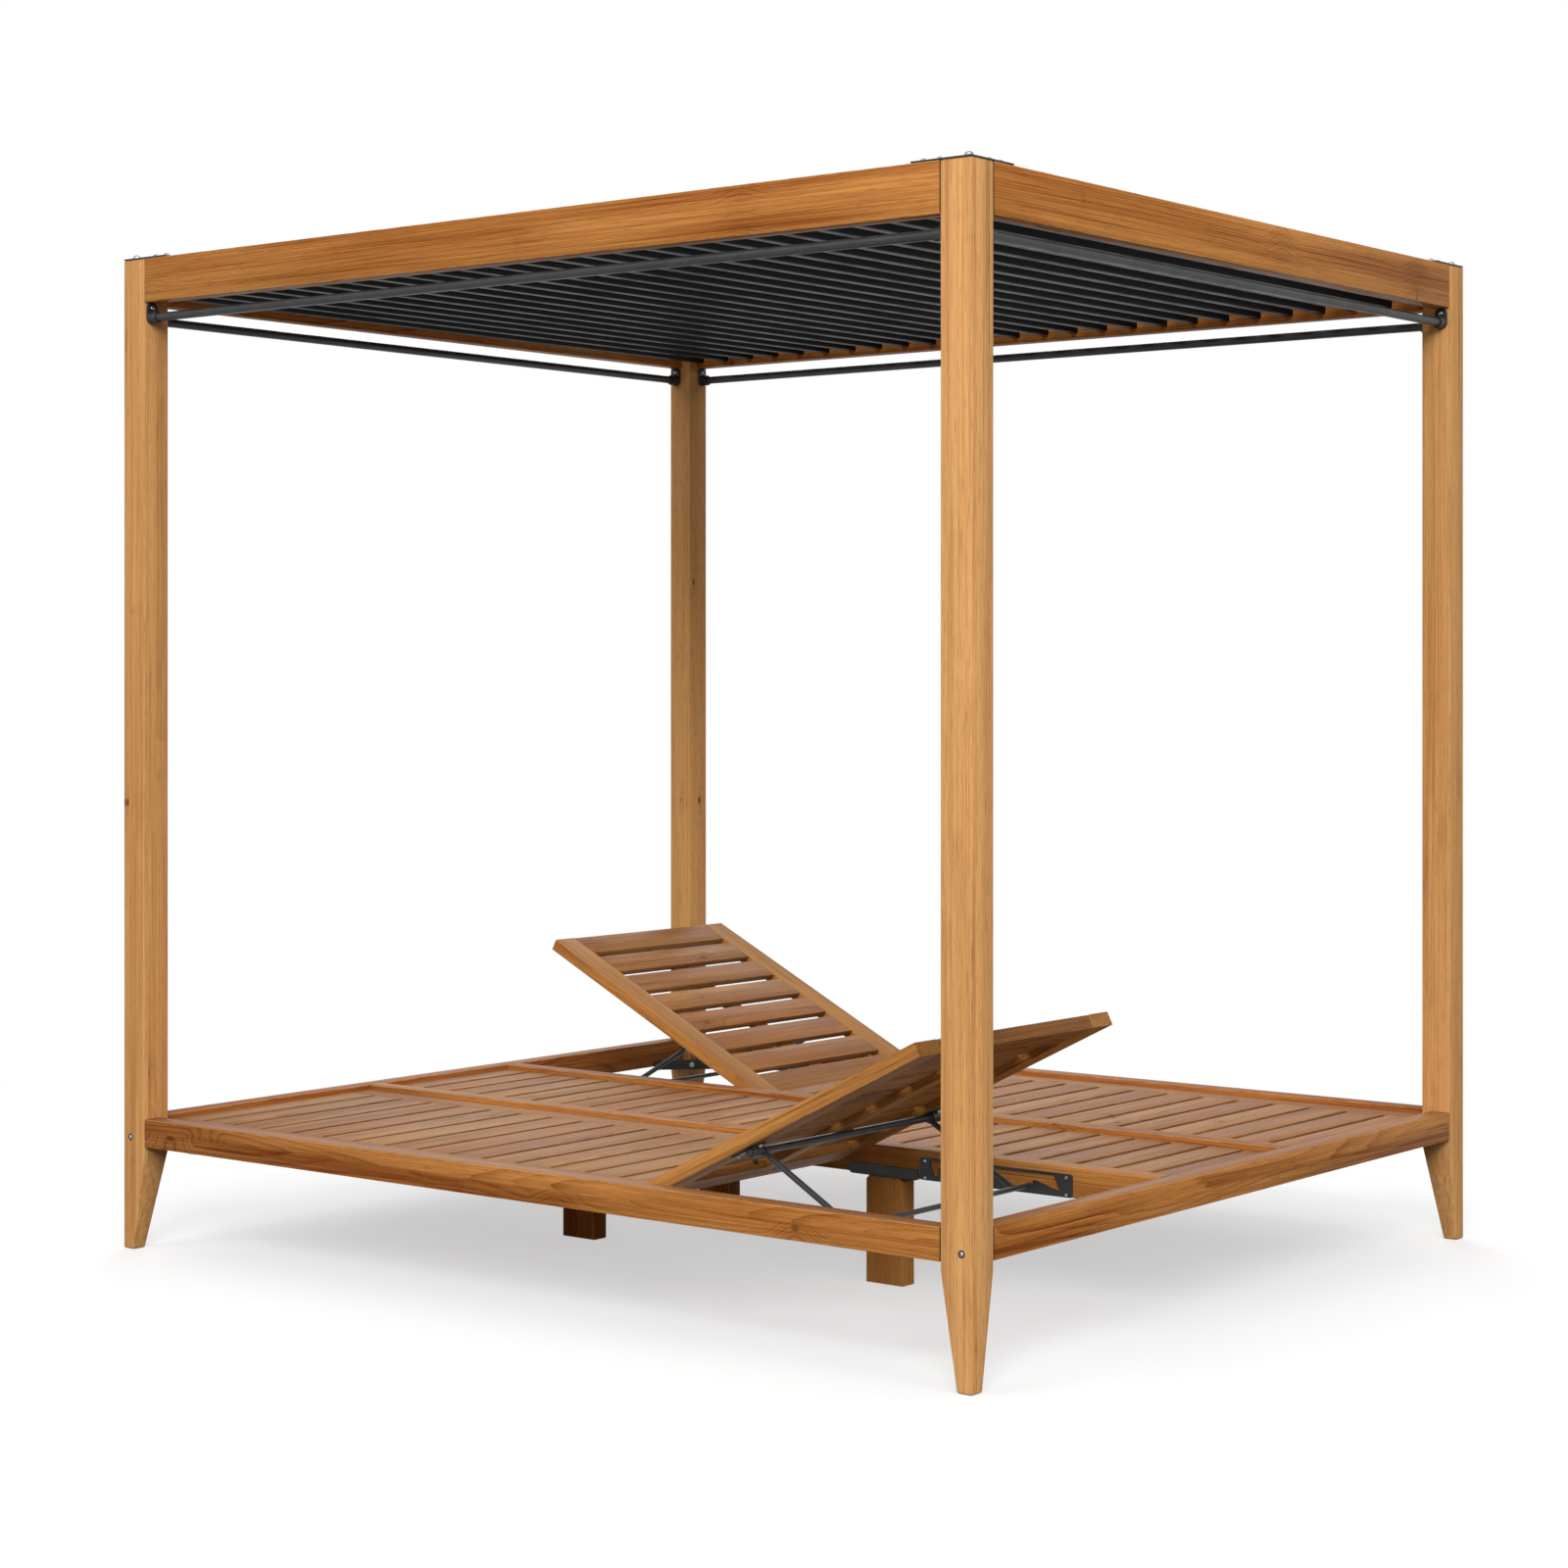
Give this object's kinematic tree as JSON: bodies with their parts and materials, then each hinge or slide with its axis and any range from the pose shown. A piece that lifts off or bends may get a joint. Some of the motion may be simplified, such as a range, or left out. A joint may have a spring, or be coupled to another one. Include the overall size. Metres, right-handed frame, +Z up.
{
  "type": "outdoor daybed",
  "caption": "Teak outdoor daybed with a metal-louvred canopy, curtain rods, and slatted lounges whose backrests rise at opposite ends on notched stays.",
  "frame": {"origin": "on the floor, under the middle of the deck", "axes": "+Z up; +X along the lounges, towards the raised end of the front lounge's backrest; -Y towards the front lounge"},
  "size_m": [2.14, 1.826, 2.0628],
  "materials": {
    "teak": "oiled, golden brown",
    "teak_slat": "oiled, brown, a little weathered on top",
    "coated_metal": "satin charcoal powder coat"
  },
  "bodies": {
    "frame": {"beam_back": "teak", "beam_front": "teak", "beam_left": "teak", "beam_right": "teak", "centre_panel": "teak_slat", "corner_bracket_back_left": "coated_metal", "corner_bracket_back_right": "coated_metal", "corner_bracket_front_left": "coated_metal", "corner_bracket_front_right": "coated_metal", "corner_plate_back_left": "coated_metal", "corner_plate_back_right": "coated_metal", "corner_plate_front_left": "coated_metal", "corner_plate_front_right": "coated_metal", "curtain_rod_back": "coated_metal", "curtain_rod_front": "coated_metal", "curtain_rod_left": "coated_metal", "curtain_rod_right": "coated_metal", "divider_back": "teak", "divider_front": "teak", "leg_angle_back_left": "coated_metal", "leg_angle_back_right": "coated_metal", "leg_angle_front_left": "coated_metal", "leg_angle_front_right": "coated_metal", "louvre_bank": "coated_metal", "notch_plate_back_inner": "coated_metal", "notch_plate_back_outer": "coated_metal", "notch_plate_front_inner": "coated_metal", "notch_plate_front_outer": "coated_metal", "pivot_rod_back": "coated_metal", "pivot_rod_front": "coated_metal", "post_back_left": "teak", "post_back_right": "teak", "post_front_left": "teak", "post_front_right": "teak", "rail_back": "teak", "rail_front": "teak", "rail_left": "teak", "rail_right": "teak", "rod_bracket_back_at_left": "coated_metal", "rod_bracket_back_at_right": "coated_metal", "rod_bracket_front_at_left": "coated_metal", "rod_bracket_front_at_right": "coated_metal", "rod_bracket_left_at_back": "coated_metal", "rod_bracket_left_at_front": "coated_metal", "rod_bracket_right_at_back": "coated_metal", "rod_bracket_right_at_front": "coated_metal", "seat_panel_back": "teak_slat", "seat_panel_front": "teak_slat", "support_leg_back_left": "teak", "support_leg_back_right": "teak", "support_leg_front_left": "teak", "support_leg_front_right": "teak"},
    "backrest_front_body": {"backrest_front": "teak_slat", "stay_bracket_front_inner": "coated_metal", "stay_bracket_front_outer": "coated_metal"},
    "stay_front_body": {"stay_front": "coated_metal"},
    "backrest_back_body": {"backrest_back": "teak_slat", "stay_bracket_back_inner": "coated_metal", "stay_bracket_back_outer": "coated_metal"},
    "stay_back_body": {"stay_back": "coated_metal"}
  },
  "joints": [
    {"name": "backrest_front_hinge", "type": "hinge", "parent": "frame", "child": "backrest_front_body", "pos_m": [0.306, -0.5565, 0.249], "axis": [0, -1, 0], "range_deg": [-26.5, 29.8]},
    {"name": "stay_front_pivot", "type": "hinge", "parent": "backrest_front_body", "child": "stay_front_body", "pos_m": [0.54635, -0.5565, 0.34425], "axis": [0, -1, 0], "range_deg": [-65, 58]},
    {"name": "backrest_back_hinge", "type": "hinge", "parent": "frame", "child": "backrest_back_body", "pos_m": [-0.306, 0.5565, 0.249], "axis": [0, 1, 0], "range_deg": [-26.5, 29.8]},
    {"name": "stay_back_pivot", "type": "hinge", "parent": "backrest_back_body", "child": "stay_back_body", "pos_m": [-0.54635, 0.5565, 0.34425], "axis": [0, 1, 0], "range_deg": [-65, 58]}
  ],
  "couplings": [
    {"joint": "stay_front_pivot", "follows": "backrest_front_hinge", "ratio": -2.155},
    {"joint": "stay_back_pivot", "follows": "backrest_back_hinge", "ratio": -2.155}
  ]
}
